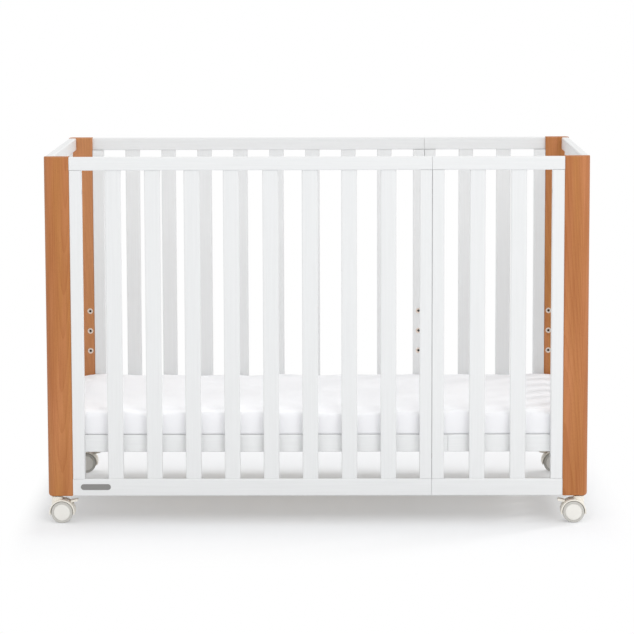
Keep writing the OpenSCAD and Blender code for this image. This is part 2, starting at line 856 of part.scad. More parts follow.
module caster_fl_hood() { at_post(-1, -1) hood(); }
module caster_fl_axle() { at_post(-1, -1) axle(); }
module caster_fl_outer_wheel() { at_post(-1, -1) wheel(-1); }
module caster_fl_inner_wheel() { at_post(-1, -1) wheel(1); }
module caster_fl_lever() { at_post(-1, -1) lever(); }
module caster_fr_hood() { at_post(1, -1) hood(); }
module caster_fr_axle() { at_post(1, -1) axle(); }
module caster_fr_outer_wheel() { at_post(1, -1) wheel(1); }
module caster_fr_inner_wheel() { at_post(1, -1) wheel(-1); }
module caster_fr_lever() { at_post(1, -1) lever(); }
module caster_rl_hood() { at_post(-1, 1) hood(); }
module caster_rl_axle() { at_post(-1, 1) axle(); }
module caster_rl_outer_wheel() { at_post(-1, 1) wheel(1); }
module caster_rl_inner_wheel() { at_post(-1, 1) wheel(-1); }
module caster_rl_lever() { at_post(-1, 1) lever(); }
module caster_rr_hood() { at_post(1, 1) hood(); }
module caster_rr_axle() { at_post(1, 1) axle(); }
module caster_rr_outer_wheel() { at_post(1, 1) wheel(-1); }
module caster_rr_inner_wheel() { at_post(1, 1) wheel(1); }
module caster_rr_lever() { at_post(1, 1) lever(); }

post_front_left();
post_front_right();
post_rear_left();
post_rear_right();
front_wide_top_rail();
front_wide_bottom_rail();
front_narrow_top_rail();
front_narrow_bottom_rail();
front_left_stile();
front_middle_stiles();
front_right_stile();
front_wide_slats();
front_narrow_slats();
rear_wide_top_rail();
rear_wide_bottom_rail();
rear_narrow_top_rail();
rear_narrow_bottom_rail();
rear_left_stile();
rear_middle_stiles();
rear_right_stile();
rear_wide_slats();
rear_narrow_slats();
left_end_top_rail();
left_end_bottom_rail();
left_end_slats();
right_end_top_rail();
right_end_bottom_rail();
right_end_slats();
base_wide_front_rail();
base_wide_rear_rail();
base_narrow_front_rail();
base_narrow_rear_rail();
base_left_cross_rail();
base_middle_cross_rails();
base_right_cross_rail();
base_slats();
mattress();
threaded_inserts();
bolts();
caster_stems();
caster_fl_hood();
caster_fl_axle();
caster_fl_outer_wheel();
caster_fl_inner_wheel();
caster_fl_lever();
caster_fr_hood();
caster_fr_axle();
caster_fr_outer_wheel();
caster_fr_inner_wheel();
caster_fr_lever();
caster_rl_hood();
caster_rl_axle();
caster_rl_outer_wheel();
caster_rl_inner_wheel();
caster_rl_lever();
caster_rr_hood();
caster_rr_axle();
caster_rr_outer_wheel();
caster_rr_inner_wheel();
caster_rr_lever();
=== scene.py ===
"""Baby crib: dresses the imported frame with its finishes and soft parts."""

import math
import random

import bmesh
import bpy
import numpy as np
from mathutils import Matrix, Vector


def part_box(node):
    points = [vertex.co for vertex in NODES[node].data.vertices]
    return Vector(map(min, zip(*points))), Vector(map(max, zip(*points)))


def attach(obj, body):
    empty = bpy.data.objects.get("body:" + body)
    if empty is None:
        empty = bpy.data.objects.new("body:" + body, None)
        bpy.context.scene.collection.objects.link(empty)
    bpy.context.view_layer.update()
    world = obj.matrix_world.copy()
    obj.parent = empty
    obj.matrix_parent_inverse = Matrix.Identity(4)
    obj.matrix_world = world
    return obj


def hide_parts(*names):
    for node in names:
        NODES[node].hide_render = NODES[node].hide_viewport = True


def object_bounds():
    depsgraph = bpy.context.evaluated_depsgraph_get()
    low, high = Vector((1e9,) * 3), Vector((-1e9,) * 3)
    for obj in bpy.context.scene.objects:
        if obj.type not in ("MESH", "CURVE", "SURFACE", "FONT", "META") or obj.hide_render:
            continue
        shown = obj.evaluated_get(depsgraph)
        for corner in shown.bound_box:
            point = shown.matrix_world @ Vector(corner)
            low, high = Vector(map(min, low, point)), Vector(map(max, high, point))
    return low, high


bl_info = {
    "name": "Baby crib",
    "version": (1, 0, 0),
    "blender": (4, 5, 0),
    "location": "View3D > Sidebar > Baby crib",
    "description": "Finishes, fitted sheet and studio for a baby crib on casters",
    "category": "Object",
}

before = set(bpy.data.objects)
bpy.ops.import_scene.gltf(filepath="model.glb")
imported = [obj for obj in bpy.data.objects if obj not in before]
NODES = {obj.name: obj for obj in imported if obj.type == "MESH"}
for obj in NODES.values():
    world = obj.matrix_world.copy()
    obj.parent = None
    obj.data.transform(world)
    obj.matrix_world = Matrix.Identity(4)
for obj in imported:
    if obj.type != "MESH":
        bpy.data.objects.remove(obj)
CAD_BOX = [list(corner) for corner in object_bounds()]


# ---- Helpers ----

def linear(hex_colour):
    """An sRGB hex colour as linear red, green, blue and alpha."""
    parts = [int(hex_colour[i:i + 2], 16) / 255 for i in (1, 3, 5)]
    return (*[c / 12.92 if c <= 0.04045 else ((c + 0.055) / 1.055) ** 2.4 for c in parts], 1.0)


def darker(colour, share):
    """A colour at a share of its brightness."""
    return [c * share for c in colour[:3]] + [1]


def set_inputs(tree, node, inputs):
    """Gives a node's inputs their values, or links them to other nodes' outputs."""
    for name, value in inputs.items():
        if isinstance(value, bpy.types.NodeSocket):
            tree.links.new(value, node.inputs[name])
        else:
            node.inputs[name].default_value = value


def add(tree, kind, inputs=None, **settings):
    """Adds a node with its settings and its inputs."""
    made = tree.nodes.new(kind)
    for name, value in settings.items():
        setattr(made, name, value)
    set_inputs(tree, made, inputs or {})
    return made


def maths(tree, operation, *values):
    """The result of a sum with numbers."""
    return add(tree, "ShaderNodeMath", dict(enumerate(values)), operation=operation).outputs[0]


def vectors(tree, operation, *values):
    """The result of a sum with vectors: a number for a length, or else a vector."""
    made = add(tree, "ShaderNodeVectorMath", dict(enumerate(values)), operation=operation)
    return made.outputs["Value" if operation == "LENGTH" else "Vector"]


def spread(tree, value, start, end, low=0.0, high=1.0, curve="LINEAR"):
    """A value carried from one range, start to end, over to another, and held in it."""
    return add(tree, "ShaderNodeMapRange", {
        "Value": value, "From Min": start, "From Max": end, "To Min": low, "To Max": high},
        interpolation_type=curve).outputs[0]


def mix(tree, share, first, second):
    """The first colour with a share of the second."""
    return add(tree, "ShaderNodeMix", {"Factor": share, 6: first, 7: second},
               data_type="RGBA").outputs[2]


def noise(tree, place, detail, scale=1.0, roughness=0.5, output="Fac"):
    """Soft noise over the given coordinates."""
    return add(tree, "ShaderNodeTexNoise", {
        "Vector": place, "Scale": scale, "Detail": detail,
        "Roughness": roughness}).outputs[output]


def relief(tree, height, strength, depth):
    """The way a surface faces where a pattern of the given height lies in it."""
    return add(tree, "ShaderNodeBump", {
        "Height": height, "Strength": strength, "Distance": depth}).outputs[0]


def new_material(name):
    """An empty material with its shader linked to the output: (material, tree, shader)."""
    material = bpy.data.materials.new(name)
    material.use_nodes = True
    tree = material.node_tree
    tree.nodes.clear()
    shader = add(tree, "ShaderNodeBsdfPrincipled")
    add(tree, "ShaderNodeOutputMaterial", {"Surface": shader.outputs[0]})
    return material, tree, shader


def paint_over(material, share, colour):
    """Lays a share of another colour over a material's own."""
    tree = material.node_tree
    shader = next(n for n in tree.nodes if n.type == "BSDF_PRINCIPLED")
    plain = shader.inputs["Base Color"].links[0].from_socket
    set_inputs(tree, shader, {"Base Color": mix(tree, share, plain, colour)})


def object_coordinates(tree):
    """The coordinates of the object, in metres."""
    return add(tree, "ShaderNodeTexCoord").outputs["Object"]


def pattern_coordinates(tree, scale=(1, 1, 1), turn=(0, 0, 0), move=(0, 0, 0)):
    """Object coordinates, moved, turned and scaled for a pattern."""
    shifted = add(tree, "ShaderNodeMapping", {
        "Vector": object_coordinates(tree), "Location": move, "Rotation": turn})
    return add(tree, "ShaderNodeMapping", {"Vector": shifted.outputs[0], "Scale": scale}).outputs[0]


def axes(tree, vector):
    """A vector's X, Y and Z as outputs."""
    return add(tree, "ShaderNodeSeparateXYZ", {0: vector}).outputs


def paint(names, material):
    """Gives CAD nodes a material."""
    for name in names:
        piece = NODES[name]
        for slot in piece.material_slots:
            slot.material = material
        if not piece.material_slots:
            piece.data.materials.append(material)


# ---- Sizes and colours ----

def colour_setting(name, value, description):
    """A colour that the panel shows, given as a hex colour."""
    return bpy.props.FloatVectorProperty(
        name=name, description=description, subtype="COLOR", size=4, min=0, max=1,
        default=linear(value))


def length_setting(name, value, description):
    """A length that the panel shows, in metres."""
    return bpy.props.FloatProperty(
        name=name, description=description, unit="LENGTH", default=value)


def strength_setting(name, value, description):
    """The strength of a light, as the panel shows it."""
    return bpy.props.FloatProperty(name=name, description=description, default=value)


class CribWood(bpy.types.PropertyGroup):
    light: colour_setting("Early wood", "#c58153", "Colour of the beech between its rings")
    dark: colour_setting("Late wood", "#a46130", "Colour of the beech at its rings")
    golden: colour_setting(
        "Golden streaks", "#c08348", "Colour of the beech where it has yellowed more")
    ring: length_setting("Ring spacing", 0.0042, "Distance between two growth rings")
    fleck: length_setting("Fleck length", 0.006, "Length of the rays that show as dark flecks")


class CribLacquer(bpy.types.PropertyGroup):
    colour: colour_setting("Sides", "#e7e8e8", "Colour of the sides and ends")
    # The base rails are the same lacquer as the sides in a lighter white: painted light, for the
    # shade that they lie in below the mattress.
    base: colour_setting("Base rails", "#f1f2f2", "Colour of the rails of the mattress base")
    ripple: length_setting("Ripple", 0.003, "Distance between the ripples of the sprayed film")


class CribSheet(bpy.types.PropertyGroup):
    colour: colour_setting("Cotton", "#fafafc", "Colour of the fitted sheet")
    voxel: length_setting("Mesh size", 0.0082, "Size of the mesh that is simulated as cloth")
    swell: length_setting("Swell", 0.005, "Most that the padding may push the sheet outwards")
    hem_inset: length_setting(
        "Hem inset", 0.085, "Distance from the mattress's side to the elastic hem below it")
    stitch_pitch: length_setting(
        "Stitch pitch", 0.004, "Distance between two stitches of the hem")


class CribPlate(bpy.types.PropertyGroup):
    length: length_setting("Length", 0.069, "Length of the bare plate on the front bottom rail")
    height: length_setting("Height", 0.0135, "Height of the plate")
    thickness: length_setting("Thickness", 0.0008, "Thickness of the plate")


class CribCasters(bpy.types.PropertyGroup):
    hood: colour_setting("Hood", "#f2ede2", "Colour of the hoods and levers")
    tread: colour_setting("Tread", "#c8c6c0", "Colour of the wheels' treads")
    cap: colour_setting("Cap", "#eceae4", "Colour of the wheels' caps")


class CribStudio(bpy.types.PropertyGroup):
    sky: strength_setting("Ambient light", 1.10, "Strength of the light from all round")
    top: strength_setting("Top light", 0.18, "Strength of the wide light from above")
    rear: strength_setting("Rear light", 0.68, "Strength of the light from the rear right")
    key: strength_setting(
        "Key light", 62, "Power of the soft box at the front right, in watts")
    veil: bpy.props.FloatProperty(
        name="Floor veil", description="Share of plain white that is seen in the floor by the crib",
        subtype="FACTOR", min=0, max=1, default=0.33)
    fade: length_setting(
        "Floor fade", 0.5, "Distance before the crib at which the floor is plain white")


SETTINGS = {"crib_wood": CribWood, "crib_lacquer": CribLacquer, "crib_sheet": CribSheet,
            "crib_plate": CribPlate, "crib_casters": CribCasters, "crib_studio": CribStudio}


# ---- Finishes ----

def beech(name, wood, pith, lean, seed, painted_light_share):
    """Solid beech, planed and sealed with a matt oil: faint rings, streaks of
    brown and gold, short dark rays and a soft, low gloss. The rings lie round a
    pith line outside the post. The last argument is the share of a paler colour
    laid over the whole post: painted light, for the light that falls on it."""
    material, tree, shader = new_material(name)
    # The pith leans against the post, so the rings draw long arches on its faces.
    # They wander up to 18 mm, and each grows darker towards its end.
    space = pattern_coordinates(tree, turn=(*lean, 0), move=(-pith[0], -pith[1], 0))
    drift = noise(tree, add(tree, "ShaderNodeMapping", {
        "Vector": space, "Location": (seed, 0, 0), "Scale": (9, 9, 1.6)}).outputs[0],
        detail=3.0, output="Color")
    moved = vectors(tree, "MULTIPLY_ADD", drift, (0.018, 0.018, 0), space)
    radius = vectors(tree, "LENGTH", vectors(tree, "MULTIPLY", moved, (1, 1, 0)))
    year = maths(tree, "FRACT", maths(tree, "DIVIDE", radius, wood.ring))
    grown = maths(tree, "POWER", year, 2.2)
    # Bundles of fibres up to 2.5 mm wide, coarser than real ones so that they show.
    fibre = noise(tree, pattern_coordinates(tree, scale=(400, 400, 7)),
                  detail=4.0, roughness=0.62)
    broad = noise(tree, pattern_coordinates(tree, scale=(46, 46, 2.4), move=(seed, seed, 0)),
                  detail=3.0, roughness=0.55)
    warm = noise(tree, pattern_coordinates(tree, scale=(30, 30, 1.6), move=(0, seed, seed)),
                 detail=2.0)
    ray = add(tree, "ShaderNodeTexVoronoi", {
        "Vector": pattern_coordinates(tree, scale=(700, 700, 1 / wood.fleck), move=(seed, 0, 0)),
        "Scale": 1.0, "Randomness": 1.0})
    fleck = spread(tree, ray.outputs["Distance"], 0.12, 0.3, 1.0, 0.0)
    shade = maths(tree, "MULTIPLY", grown, 0.17)
    shade = maths(tree, "MULTIPLY_ADD", fibre, 0.55, shade)
    shade = maths(tree, "MULTIPLY_ADD", broad, 0.9, shade)
    early = mix(tree, spread(tree, warm, 0.4, 0.62), wood.light, wood.golden)
    colour = mix(tree, spread(tree, shade, 0.5, 1.1), early, wood.dark)
    # Painted light: a share of a paler colour over the whole post, for the light that falls on it.
    colour = mix(tree, painted_light_share, colour, linear("#e2a880"))
    colour = mix(tree, maths(tree, "MULTIPLY", fleck, 0.35), colour, linear("#8a5330"))
    set_inputs(tree, shader, {
        "Base Color": colour, "Roughness": spread(tree, shade, 0.4, 1.2, 0.42, 0.56),
        "Specular IOR Level": 0.3, "Normal": relief(tree, shade, 0.25, 0.0002)})
    return material


def birch_ply(name):
    """Birch plywood, sanded and clear: pale faces with a long grain, and
    darker glue lines where the plies end at the edges."""
    material, tree, shader = new_material(name)
    grain = noise(tree, pattern_coordinates(tree, scale=(260, 7, 260)), detail=4.0)
    face = mix(tree, grain, linear("#e6cfa8"), linear("#cfae7c"))
    # Five plies, 1.6 mm each, alternate in direction, which shows on the edges only.
    ply = maths(tree, "PINGPONG", axes(tree, object_coordinates(tree))["Z"], 0.0032)
    band = spread(tree, ply, 0.0013, 0.0019)
    facing = axes(tree, add(tree, "ShaderNodeNewGeometry").outputs["Normal"])
    edge = spread(tree, maths(tree, "ABSOLUTE", facing["Z"]), 0.3, 0.7, 1.0, 0.0)
    striped = maths(tree, "MULTIPLY", edge, band)
    set_inputs(tree, shader, {
        "Base Color": mix(tree, striped, face, linear("#a67c4e")), "Roughness": 0.6,
        "Normal": relief(tree, grain, 0.2, 0.0002)})
    return material


def lacquer(name, colour, settings, grain_scale):
    """White lacquer, sprayed in two coats on beech: an even satin film with the
    faintest ripple, and the grain along the piece just telling through it."""
    material, tree, shader = new_material(name)
    grain = noise(tree, pattern_coordinates(tree, scale=grain_scale), detail=3.0)
    streak = spread(tree, grain, 0.35, 0.7)
    ripple = noise(tree, pattern_coordinates(tree), detail=1.0, scale=1 / settings.ripple)
    film = maths(tree, "MULTIPLY_ADD", grain, 0.35, ripple)
    set_inputs(tree, shader, {
        "Base Color": mix(tree, streak, colour, darker(colour, 0.972)),
        "Roughness": spread(tree, film, 0.0, 1.0, 0.33, 0.43),
        "Normal": relief(tree, film, 0.18, 0.0001)})
    return material


def cotton(name, colour):
    """Cotton percale, washed and tumbled: a matt plain weave with a slight
    nap. The threads lie 0.3 mm apart and are drawn 0.8 mm apart, to show."""
    material, tree, shader = new_material(name)
    pitch = 2 * math.pi / 0.0008
    place = axes(tree, object_coordinates(tree))
    warp, weft = (
        maths(tree, "SINE", maths(tree, "MULTIPLY", maths(
            tree, "ADD", place[axis], place["Z"]), pitch)) for axis in ("X", "Y"))
    weave = maths(tree, "MULTIPLY", warp, weft)
    slub = noise(tree, pattern_coordinates(tree, scale=(90, 900, 900)), detail=2.0)
    height = maths(tree, "MULTIPLY_ADD", slub, 0.8, weave)
    worn = noise(tree, pattern_coordinates(tree), detail=3.0, scale=9.0)
    set_inputs(tree, shader, {
        "Base Color": mix(tree, worn, colour, darker(colour, 0.97)), "Roughness": 0.92,
        "Specular IOR Level": 0.15, "Sheen Weight": 0.03,
        "Normal": relief(tree, height, 0.3, 0.0001)})
    return material


def metal(name, colour, roughness, scale):
    """Worked metal with fine marks left by its making, drawn in the given scale."""
    material, tree, shader = new_material(name)
    marks = noise(tree, pattern_coordinates(tree, scale=scale), detail=3.0)
    set_inputs(tree, shader, {
        "Base Color": mix(tree, marks, colour, darker(colour, 0.8)), "Metallic": 1.0,
        "Roughness": spread(tree, marks, 0.0, 1.0, roughness - 0.06, roughness + 0.08),
        "Normal": relief(tree, marks, 0.2, 0.00005)})
    return material


def moulded(name, colour, roughness):
    """Moulded nylon from a lightly etched tool: a fine even texture, softly glossy."""
    material, tree, shader = new_material(name)
    etch = noise(tree, pattern_coordinates(tree), detail=2.0, scale=1400.0)
    flow = noise(tree, pattern_coordinates(tree), detail=2.0, scale=40.0)
    set_inputs(tree, shader, {
        "Base Color": mix(tree, flow, colour, darker(colour, 0.95)),
        "Roughness": spread(tree, etch, 0.0, 1.0, roughness - 0.05, roughness + 0.05),
        "Normal": relief(tree, etch, 0.15, 0.0001)})
    return material


def wheel_plastic(name, settings):
    """A nylon wheel with a softer grey tread moulded round it, and a pale cap."""
    cap_radius, blend = 0.0189, 0.0002
    material = moulded(name, settings.tread, 0.5)
    tree = material.node_tree
    low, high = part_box("caster_fr_outer_wheel")
    axle = (low + high) / 2
    sided = vectors(tree, "ABSOLUTE", object_coordinates(tree))
    spoke = vectors(tree, "SUBTRACT", sided, (axle.x, 0, axle.z))
    radius = vectors(tree, "LENGTH", vectors(tree, "MULTIPLY", spoke, (1, 0, 1)))
    inside = spread(tree, radius, cap_radius - blend, cap_radius + blend, 1.0, 0.0)
    paint_over(material, inside, settings.cap)
    return material


# ---- Meshes ----

def new_piece(name, mesh, body, material=None):
    """Puts a mesh in the scene as a piece that rides on a body."""
    piece = bpy.data.objects.new(name, mesh)
    bpy.context.scene.collection.objects.link(piece)
    if material:
        piece.data.materials.clear()
        piece.data.materials.append(material)
    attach(piece, body)
    return piece


def applied(piece):
    """Replaces a piece's mesh by the one its modifiers make, and removes them."""
    made = bpy.data.meshes.new_from_object(
        piece.evaluated_get(bpy.context.evaluated_depsgraph_get()))
    piece.modifiers.clear()
    piece.data = made


def smooth(mesh, angle=math.radians(35)):
    """Shades a mesh smooth, apart from edges sharper than the angle."""
    mesh.polygons.foreach_set("use_smooth", [True] * len(mesh.polygons))
    mesh.set_sharp_from_angle(angle=angle)
    mesh.update()


def nodes_object(name, mesh, tree, values):
    """A mesh with a Geometry Nodes modifier whose named inputs are set."""
    piece = bpy.data.objects.new(name, mesh)
    bpy.context.scene.collection.objects.link(piece)
    modifier = piece.modifiers.new("Build", "NODES")
    modifier.node_group = tree
    for socket in tree.interface.items_tree:
        if socket.item_type == "SOCKET" and socket.in_out == "INPUT" and socket.name in values:
            modifier[socket.identifier] = values[socket.name]
    return piece


def new_tree(name, inputs):
    """A Geometry Nodes tree with named inputs: (tree, group input, group output)."""
    tree = bpy.data.node_groups.new(name, "GeometryNodeTree")
    tree.interface.new_socket("Geometry", in_out="INPUT", socket_type="NodeSocketGeometry")
    for label, kind in inputs:
        tree.interface.new_socket(label, in_out="INPUT", socket_type=kind)
    tree.interface.new_socket("Geometry", in_out="OUTPUT", socket_type="NodeSocketGeometry")
    return tree, tree.nodes.new("NodeGroupInput"), tree.nodes.new("NodeGroupOutput")


# ---- Stage ----

# How fast the floor fades to white: to the right and behind, to the left and before.
FADE_BEHIND = (4, 0.4, 0)
FADE_BEFORE = (6, 1, 0)


class CRIB_OT_stage(bpy.types.Operator):
    """Pale floor, soft studio light and the camera"""
    bl_idname = "crib.stage"
    bl_label = "Studio"

    def execute(self, context):
        settings = context.scene.crib_studio
        self.floor(settings)
        self.light(context, settings)
        self.camera(context)
        return {"FINISHED"}

    def floor(self, settings):
        """A wide floor: a matt white that fades to plain white away from the crib."""
        half = 120.0
        mesh = bpy.data.meshes.new("floor")
        mesh.from_pydata([(-half, -half, 0), (half, -half, 0), (half, half, 0), (-half, half, 0)],
                         [], [(0, 1, 2, 3)])
        floor = bpy.data.objects.new("floor", mesh)
        bpy.context.scene.collection.objects.link(floor)
        material, tree, shader = new_material("cyclorama_paint")
        set_inputs(tree, shader, {
            "Base Color": linear("#eeeff1"), "Roughness": 1.0, "Specular IOR Level": 0.0})
        glow = add(tree, "ShaderNodeEmission", {"Strength": 1.0})
        place = object_coordinates(tree)
        behind = vectors(tree, "SUBTRACT", place, (*CAD_BOX[1][:2], 0))
        behind = vectors(tree, "MULTIPLY", behind, FADE_BEHIND)
        before = vectors(tree, "SUBTRACT", (*CAD_BOX[0][:2], 0), place)
        before = vectors(tree, "MULTIPLY", before, FADE_BEFORE)
        outside = vectors(tree, "MAXIMUM", behind, before)
        away = vectors(tree, "LENGTH", vectors(tree, "MAXIMUM", outside, (0, 0, 0)))
        fade = spread(tree, away, 0.0, settings.fade, settings.veil, 1.0, curve="SMOOTHSTEP")
        share = maths(tree, "MULTIPLY", self.seen(tree), fade)
        mixed = add(tree, "ShaderNodeMixShader", {
            0: share, 1: shader.outputs[0], 2: glow.outputs[0]})
        output = next(n for n in tree.nodes if n.type == "OUTPUT_MATERIAL")
        tree.links.new(mixed.outputs[0], output.inputs["Surface"])
        mesh.materials.append(material)

    def seen(self, tree):
        """1 where the camera looks straight at it or sees it in a gloss, else 0."""
        path = add(tree, "ShaderNodeLightPath").outputs
        return maths(tree, "MAXIMUM", path["Is Camera Ray"], path["Is Glossy Ray"])

    def light(self, context, settings):
        """White all round, a wide light above, a soft sun behind and a soft box in front."""
        world = bpy.data.worlds.new("studio")
        world.use_nodes = True
        tree = world.node_tree
        tree.nodes.clear()
        strength = spread(tree, self.seen(tree), 0.0, 1.0, settings.sky, 1.0)
        background = add(tree, "ShaderNodeBackground", {"Strength": strength})
        add(tree, "ShaderNodeOutputWorld", {"Surface": background.outputs[0]})
        context.scene.world = world
        for name, energy, width, place, aim in (
                ("top", settings.top, 45, (0, 0, 3), (0, -0.25, -1)),
                ("rear", settings.rear, 12, (2, 2, 3), (-0.621, -0.485, -0.616))):
            sun = bpy.data.lights.new(name, "SUN")
            sun.energy = energy
            sun.angle = math.radians(width)
            self.lamp(context, sun, place, aim)
        key = bpy.data.lights.new("key", "AREA")
        key.shape = "SQUARE"
        key.size = 2.2
        key.energy = settings.key
        place = Vector((1.77, -4.86, 3.49))
        self.lamp(context, key, place, Vector((0.1, 0, 0.4)) - place)

    def lamp(self, context, light, place, aim):
        """Hangs a lamp at a place and aims it."""
        lamp = bpy.data.objects.new(light.name, light)
        lamp.location = place
        lamp.rotation_euler = Vector(aim).to_track_quat("-Z", "Y").to_euler()
        lamp.visible_camera = False
        context.scene.collection.objects.link(lamp)

    def camera(self, context):
        """A long lens in front of the crib, a little above it."""
        place = Vector((0.0558, -6.8413, 1.3319))
        turn, tilt, roll = 0.0086, 0.1314, -0.0028  # radians
        ahead = Vector((-math.sin(turn) * math.cos(tilt), math.cos(turn) * math.cos(tilt),
                        -math.sin(tilt)))
        data = bpy.data.cameras.new("camera")
        data.lens = 163.66
        data.shift_y = 0.0039
        data.clip_end = 400
        camera = bpy.data.objects.new("camera", data)
        look = ahead.to_track_quat("-Z", "Y").to_matrix() @ Matrix.Rotation(roll, 3, "Z")
        camera.matrix_world = Matrix.Translation(place) @ look.to_4x4()
        context.scene.collection.objects.link(camera)
        context.scene.camera = camera
        context.scene.view_settings.view_transform = "Standard"


# ---- Wood ----

# How each post's pith leans, in degrees, and the share of a paler colour laid
# over the post as painted light, for the light that falls on the rear left post.
POSTS = {
    "post_front_left": ((2.6, -1.2), 0.0),
    "post_front_right": ((-1.7, 1.9), 0.0),
    "post_rear_left": ((1.4, 2.4), 0.22),
    "post_rear_right": ((-2.2, -0.9), 0.0),
}


class CRIB_OT_posts(bpy.types.Operator):
    """Beech for the four posts, each sawn from its own place in the log"""
    bl_idname = "crib.posts"
    bl_label = "Beech posts"

    def execute(self, context):
        wood = context.scene.crib_wood
        for index, (name, (lean, painted_light_share)) in enumerate(POSTS.items()):
            low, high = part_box(name)
            middle = (low + high) / 2
            # The pith lies 12 mm inwards of the post's middle, and 50 mm outside it.
            pith = (middle.x - math.copysign(0.012, middle.x),
                    middle.y + math.copysign(0.05, middle.y))
            seed = 3.1 * index + 1.7
            paint([name], beech(f"oiled_beech_{name[5:]}", wood, pith,
                                [math.radians(angle) for angle in lean], seed, painted_light_share))
        return {"FINISHED"}


class CRIB_OT_sides(bpy.types.Operator):
    """White lacquer for the sides, the ends and the frame of the base"""
    bl_idname = "crib.sides"
    bl_label = "Lacquered sides, ends and base rails"

    def execute(self, context):
        settings = context.scene.crib_lacquer
        # The grain runs along each piece: upright, lengthwise or across the crib.
        runs = {"upright": (300, 300, 9), "long": (9, 300, 300), "cross": (300, 9, 300)}
        for name in NODES:
            if name == "base_slats" or not name.endswith(
                    ("rail", "rails", "stile", "stiles", "slats")):
                continue
            based = name.startswith("base")
            if name.endswith(("slats", "stile", "stiles")):
                run = "upright"
            elif "_end_" in name or "cross" in name:
                run = "cross"
            else:
                run = "long"
            # The base rails take the lighter white: painted light, for the shade below the
            # mattress.
            label = f"white_satin_lacquer_{run}" + ("_base" if based else "")
            paint([name], bpy.data.materials.get(label) or lacquer(
                label, settings.base if based else settings.colour, settings, runs[run]))
        return {"FINISHED"}


class CRIB_OT_base_slats(bpy.types.Operator):
    """Birch plywood for the slats that carry the mattress"""
    bl_idname = "crib.base_slats"
    bl_label = "Base slats"

    def execute(self, context):
        paint(["base_slats"], birch_ply("sanded_birch_plywood"))
        return {"FINISHED"}


# ---- Fittings ----

# Scale of the marks on turned and pressed steel, about 1 mm wide.
MARKS = (900, 900, 900)


class CRIB_OT_fittings(bpy.types.Operator):
    """Zinc-plated steel for the inserts, bolts, stems and axles"""
    bl_idname = "crib.fittings"
    bl_label = "Inserts, bolts and stems"

    def execute(self, context):
        steel = metal("zinc_plated_steel", linear("#c9c2b6"), 0.34, MARKS)
        paint([name for name in NODES
               if name in ("bolts", "caster_stems") or name.endswith("axle")], steel)
        paint(["threaded_inserts"], self.insert_steel())
        # The turned edges are broken, which leaves a fine groove round each rim.
        edge = NODES["threaded_inserts"].modifiers.new("Broken edges", "BEVEL")
        edge.width = 0.0006
        edge.segments = 2
        edge.limit_method = "ANGLE"
        edge.angle_limit = math.radians(50)
        edge.harden_normals = True
        return {"FINISHED"}

    def insert_steel(self):
        """Pale passivated steel, with painted shade: near black in the bore and in the groove at
        the rim, where shade falls.
        """
        material = metal("passivated_steel_painted_shade", linear("#f0e2d6"), 0.4, MARKS)
        tree = material.node_tree
        # The rims lie flush with the inner faces of the posts and stiles.
        face = -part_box("post_front_left")[1].y
        across = maths(tree, "ABSOLUTE", axes(tree, object_coordinates(tree))["Y"])
        # Painted shade: below the face the steel is coloured near black, in the bore and the groove
        # round the rim, for the shade in them.
        painted_shade = spread(tree, across, face + 0.00005, face + 0.0003)
        paint_over(material, painted_shade, linear("#17140f"))
        return material


class CRIB_OT_plate(bpy.types.Operator):
    """Bare plate of brushed aluminium on the front bottom rail"""
    bl_idname = "crib.plate"
    bl_label = "Bare plate"

    def execute(self, context):
        settings = context.scene.crib_plate
        low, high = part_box("front_wide_bottom_rail")
        # It lies 52.5 mm from the rail's end, 1 mm above the middle of its face.
        middle = Vector((low.x + 0.0525, low.y, (low.z + high.z) / 2 + 0.001))
        radius = settings.height / 2
        run = settings.length / 2 - radius
        bevel = 0.0003
        steps = 24
        rings = []
        for inset, depth in ((0, 0), (0, settings.thickness - bevel),
                             (bevel, settings.thickness)):
            ring = []
            for end in (1, -1):
                for step in range(steps + 1):
                    angle = math.radians(-90 + 180 * step / steps)
                    reach = radius - inset
                    ring.append((end * (run + reach * math.cos(angle)),
                                 -depth, end * reach * math.sin(angle)))
            rings.append([Vector(p) + middle for p in ring])
        build = bmesh.new()
        loops = [[build.verts.new(p) for p in ring] for ring in rings]
        count = len(loops[0])
        for first, second in zip(loops, loops[1:]):
            for i in range(count):
                build.faces.new((first[i], first[(i + 1) % count],
                                 second[(i + 1) % count], second[i]))
        build.faces.new(loops[-1])
        build.faces.new(reversed(loops[0]))
        bmesh.ops.recalc_face_normals(build, faces=build.faces)
        mesh = bpy.data.meshes.new("bare_plate")
        build.to_mesh(mesh)
        build.free()
        smooth(mesh)
        satin = metal("brushed_aluminium", linear("#9c9b99"), 0.42, (60, 4000, 4000))
        new_piece("bare_plate", mesh, "crib_frame", satin)
        return {"FINISHED"}


# ---- Casters ----

class CRIB_OT_casters(bpy.types.Operator):
    """Nylon hoods, levers and wheels"""
    bl_idname = "crib.casters"
    bl_label = "Casters"

    def execute(self, context):
        settings = context.scene.crib_casters
        hood = moulded("moulded_white_nylon", settings.hood, 0.4)
        wheel = wheel_plastic("moulded_nylon_wheel_grey_tread", settings)
        paint([name for name in NODES if name.endswith(("hood", "lever"))], hood)
        paint([name for name in NODES if name.endswith("wheel")], wheel)
        return {"FINISHED"}


# ---- Mattress ----

# Radius of the mattress's upright corners.
CORNER = 0.03
# Height over the base up to which the simulation leaves the cover alone.
HELD = 0.012
# Width of the rim of the underside that lies flat on the base, and its gap to the base.
RIM = 0.012
RIM_GAP = 0.0004
# Pitch and height of the gathers below the mattress, and their gap to the base.
GATHER_PITCH = 0.016
GATHER_HEIGHT = 0.0012
GATHER_GAP = 0.0003
# Most that the firm core lets the sides swell.
SIDE_SWELL = 0.001
# Frames of the simulation, and the pressure in the cover.
FRAMES = 20
PRESSURE = 4.0
